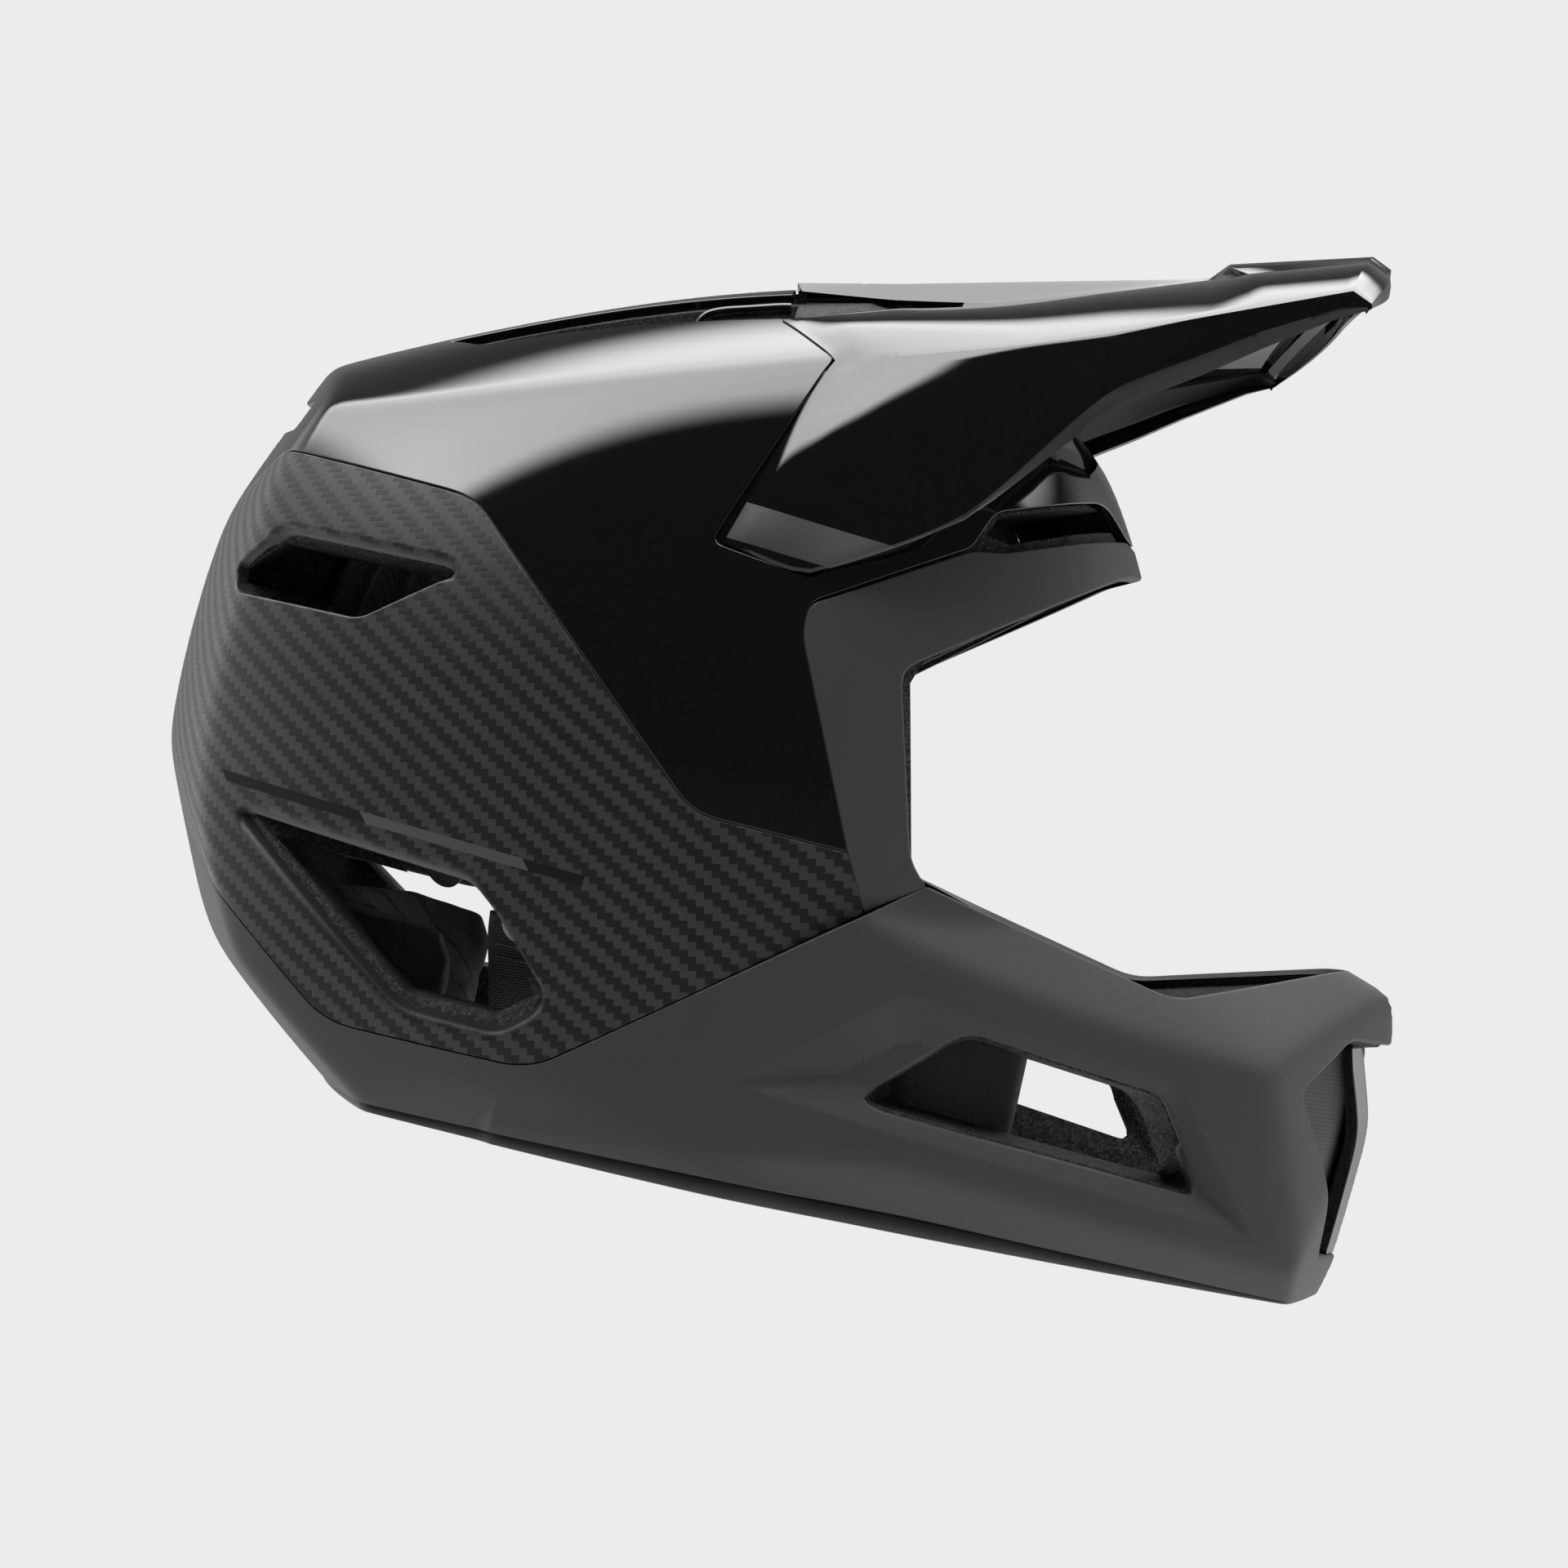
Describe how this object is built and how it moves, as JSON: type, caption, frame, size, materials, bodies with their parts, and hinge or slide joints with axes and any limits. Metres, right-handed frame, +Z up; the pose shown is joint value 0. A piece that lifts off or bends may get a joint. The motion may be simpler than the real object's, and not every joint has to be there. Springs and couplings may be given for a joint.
{
  "type": "full-face bicycle helmet",
  "caption": "Full-face mountain bike helmet with a faceted shell, vented crown, wide chin bar, tilting visor, foam liners and padded interior.",
  "frame": {"origin": "middle of the bounding box at the lower rim, where the helmet rests", "axes": "+X to the front of the helmet, +Y to the wearer's left, +Z up"},
  "size_m": [0.3714, 0.2198, 0.301],
  "materials": {
    "gloss_black": "clear-coated gloss black shell",
    "carbon_weave": "satin twill weave under a matt clear coat",
    "matt_grey": "matt dark grey paint",
    "bead_foam": "black moulded bead foam",
    "liner_fabric": "brushed knit over soft foam",
    "black_plastic": "fine-textured moulded plastic",
    "damper_rubber": "soft moulded elastomer",
    "steel": "plated steel",
    "rim_rubber": "matt rubber edging",
    "webbing": "ribbed woven webbing",
    "release_red": "moulded red plastic"
  },
  "bodies": {
    "helmet": {"crown_shell": "gloss_black", "rear_shell": "carbon_weave", "lower_shell": "matt_grey", "brow_trim": "matt_grey", "crown_foam": "bead_foam", "chin_foam": "bead_foam", "comfort_liner": "liner_fabric", "brow_pad": "liner_fabric", "neck_roll": "liner_fabric", "cheek_snaps": "black_plastic", "damper_discs": "damper_rubber", "visor_sockets": "black_plastic", "crown_ducts": "gloss_black", "chin_grille": "gloss_black", "grille_mesh": "black_plastic", "base_trim": "rim_rubber", "strap_left": "webbing", "strap_right": "webbing", "strap_anchors": "steel", "buckle_body": "black_plastic", "buckle_tongue": "black_plastic", "strap_keeper": "rim_rubber", "pull_tabs": "webbing"},
    "visor_body": {"visor": "gloss_black", "visor_studs": "steel"},
    "screw_body": {"visor_screw": "steel"},
    "cheek_left": {"cheek_pad_left": "liner_fabric"},
    "cheek_right": {"cheek_pad_right": "liner_fabric"},
    "release": {"buckle_release": "release_red"}
  },
  "joints": [
    {"name": "visor_tilt", "type": "hinge", "parent": "helmet", "child": "visor_body", "pos_m": [-0.004, 0, 0.186], "axis": [0, -1, 0], "range_deg": [-8, 0]},
    {"name": "visor_screw_turn", "type": "hinge", "parent": "visor_body", "child": "screw_body", "pos_m": [-0.016, 0, 0.262], "axis": [-0.2079, 0, 0.9781], "continuous": true},
    {"name": "cheek_left_out", "type": "slide", "parent": "helmet", "child": "cheek_left", "axis": [0, -1, 0], "range_m": [0, 0.01]},
    {"name": "cheek_right_out", "type": "slide", "parent": "helmet", "child": "cheek_right", "axis": [0, 1, 0], "range_m": [0, 0.01]},
    {"name": "buckle_release_slide", "type": "slide", "parent": "helmet", "child": "release", "axis": [0, 1, 0], "range_m": [0, 0.005], "stiffness_N_per_m": 100}
  ]
}
